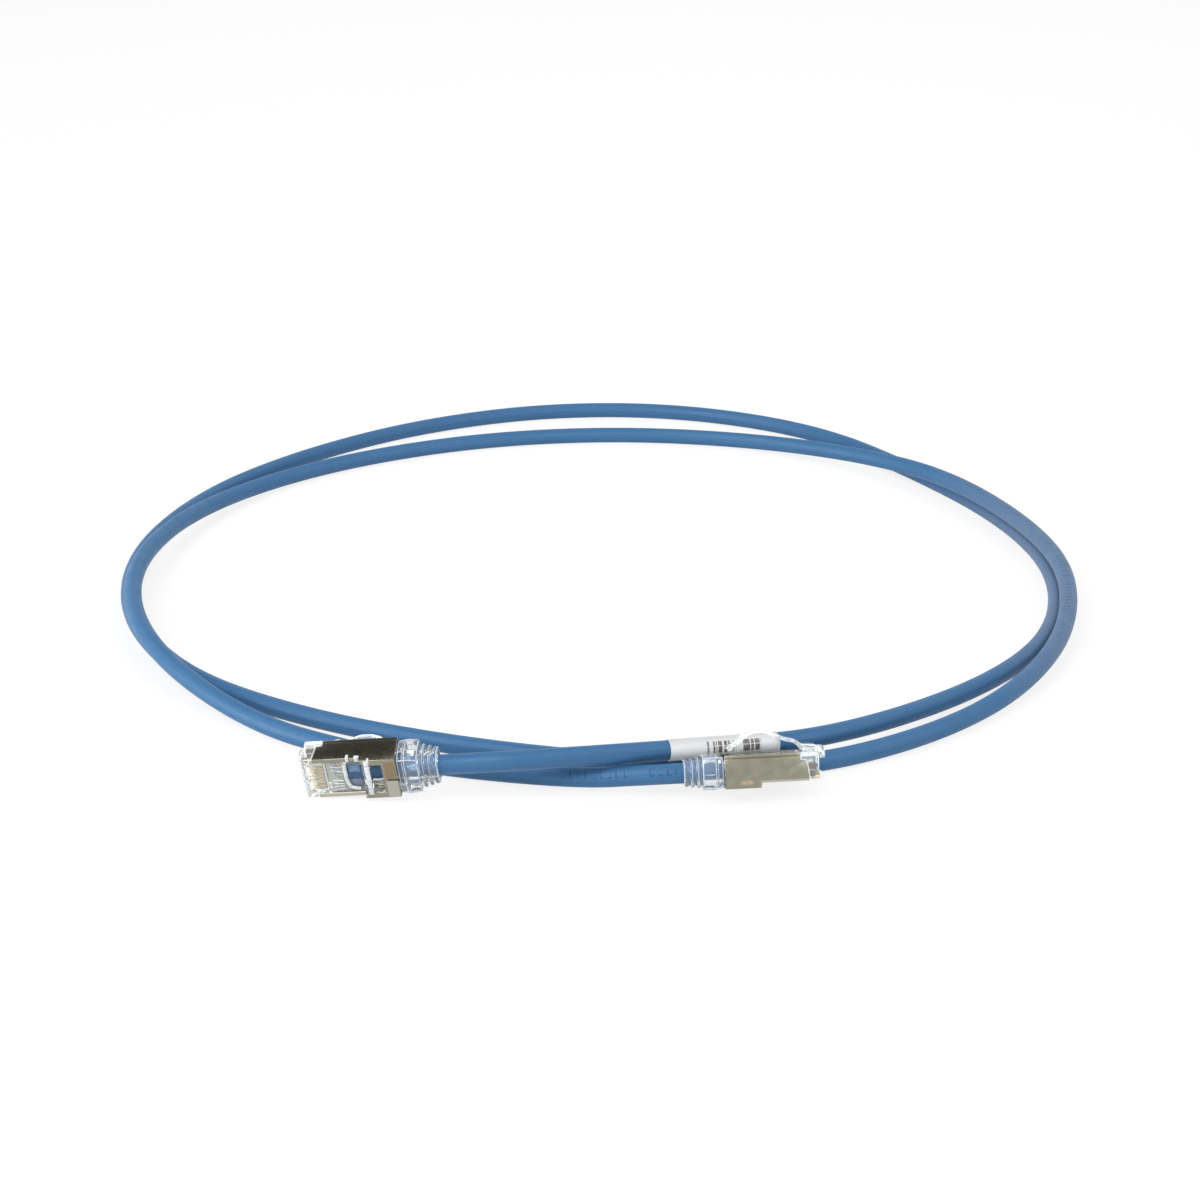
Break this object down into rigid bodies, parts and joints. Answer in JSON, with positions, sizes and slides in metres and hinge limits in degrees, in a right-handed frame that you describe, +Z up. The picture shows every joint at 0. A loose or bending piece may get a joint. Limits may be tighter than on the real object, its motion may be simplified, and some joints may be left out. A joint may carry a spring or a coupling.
{
  "type": "shielded network patch cable",
  "caption": "Blue shielded network patch cable lying in loose loops, with clear modular plugs, metal shells, ribbed boots and a white wrap label.",
  "frame": {"origin": "on the floor under the middle of the two plugs, which lie nose away from each other at the front of the loops", "axes": "+X from the left plug to the right one, +Y away from the viewer into the loops, +Z up from the floor"},
  "size_m": [0.2642, 0.2823, 0.0156],
  "materials": {
    "clear_housing": "clear moulded polycarbonate",
    "clear_bar": "clear moulded polycarbonate",
    "clear_boot": "clear soft moulded boot",
    "clear_latch": "clear moulded polycarbonate",
    "gold_contacts": "gold-plated blades",
    "shield_shell": "nickel-plated stamped sheet",
    "wire_orange": "insulated wires",
    "wire_green": "insulated wires",
    "wire_blue": "insulated wires",
    "wire_brown": "insulated wires",
    "jacket": "satin moulded jacket",
    "core": "foil-wrapped bundle of pairs",
    "label": "satin wrap label"
  },
  "bodies": {
    "cord_and_plugs": {"left_housing": "clear_housing", "left_contacts": "gold_contacts", "left_shell": "shield_shell", "left_load_bar": "clear_bar", "left_boot": "clear_boot", "left_pair_orange": "wire_orange", "left_pair_green": "wire_green", "left_pair_blue": "wire_blue", "left_pair_brown": "wire_brown", "right_housing": "clear_housing", "right_contacts": "gold_contacts", "right_shell": "shield_shell", "right_load_bar": "clear_bar", "right_boot": "clear_boot", "right_pair_orange": "wire_orange", "right_pair_green": "wire_green", "right_pair_blue": "wire_blue", "right_pair_brown": "wire_brown", "cable_jacket": "jacket", "cable_core": "core", "cable_label": "label"},
    "left_latch_arm": {"left_latch": "clear_latch"},
    "right_latch_arm": {"right_latch": "clear_latch"}
  },
  "joints": [
    {"name": "left_latch_press", "type": "hinge", "parent": "cord_and_plugs", "child": "left_latch_arm", "pos_m": [-0.05563, 0.00319, 0.00785], "axis": [0.1078, 0.2688, -0.9572], "range_deg": [0, 5], "stiffness_Nm_per_rad": 0.05},
    {"name": "right_latch_press", "type": "hinge", "parent": "cord_and_plugs", "child": "right_latch_arm", "pos_m": [0.05599, 0.00289, 0.01063], "axis": [0.0404, -0.919, 0.3922], "range_deg": [0, 5], "stiffness_Nm_per_rad": 0.05}
  ]
}
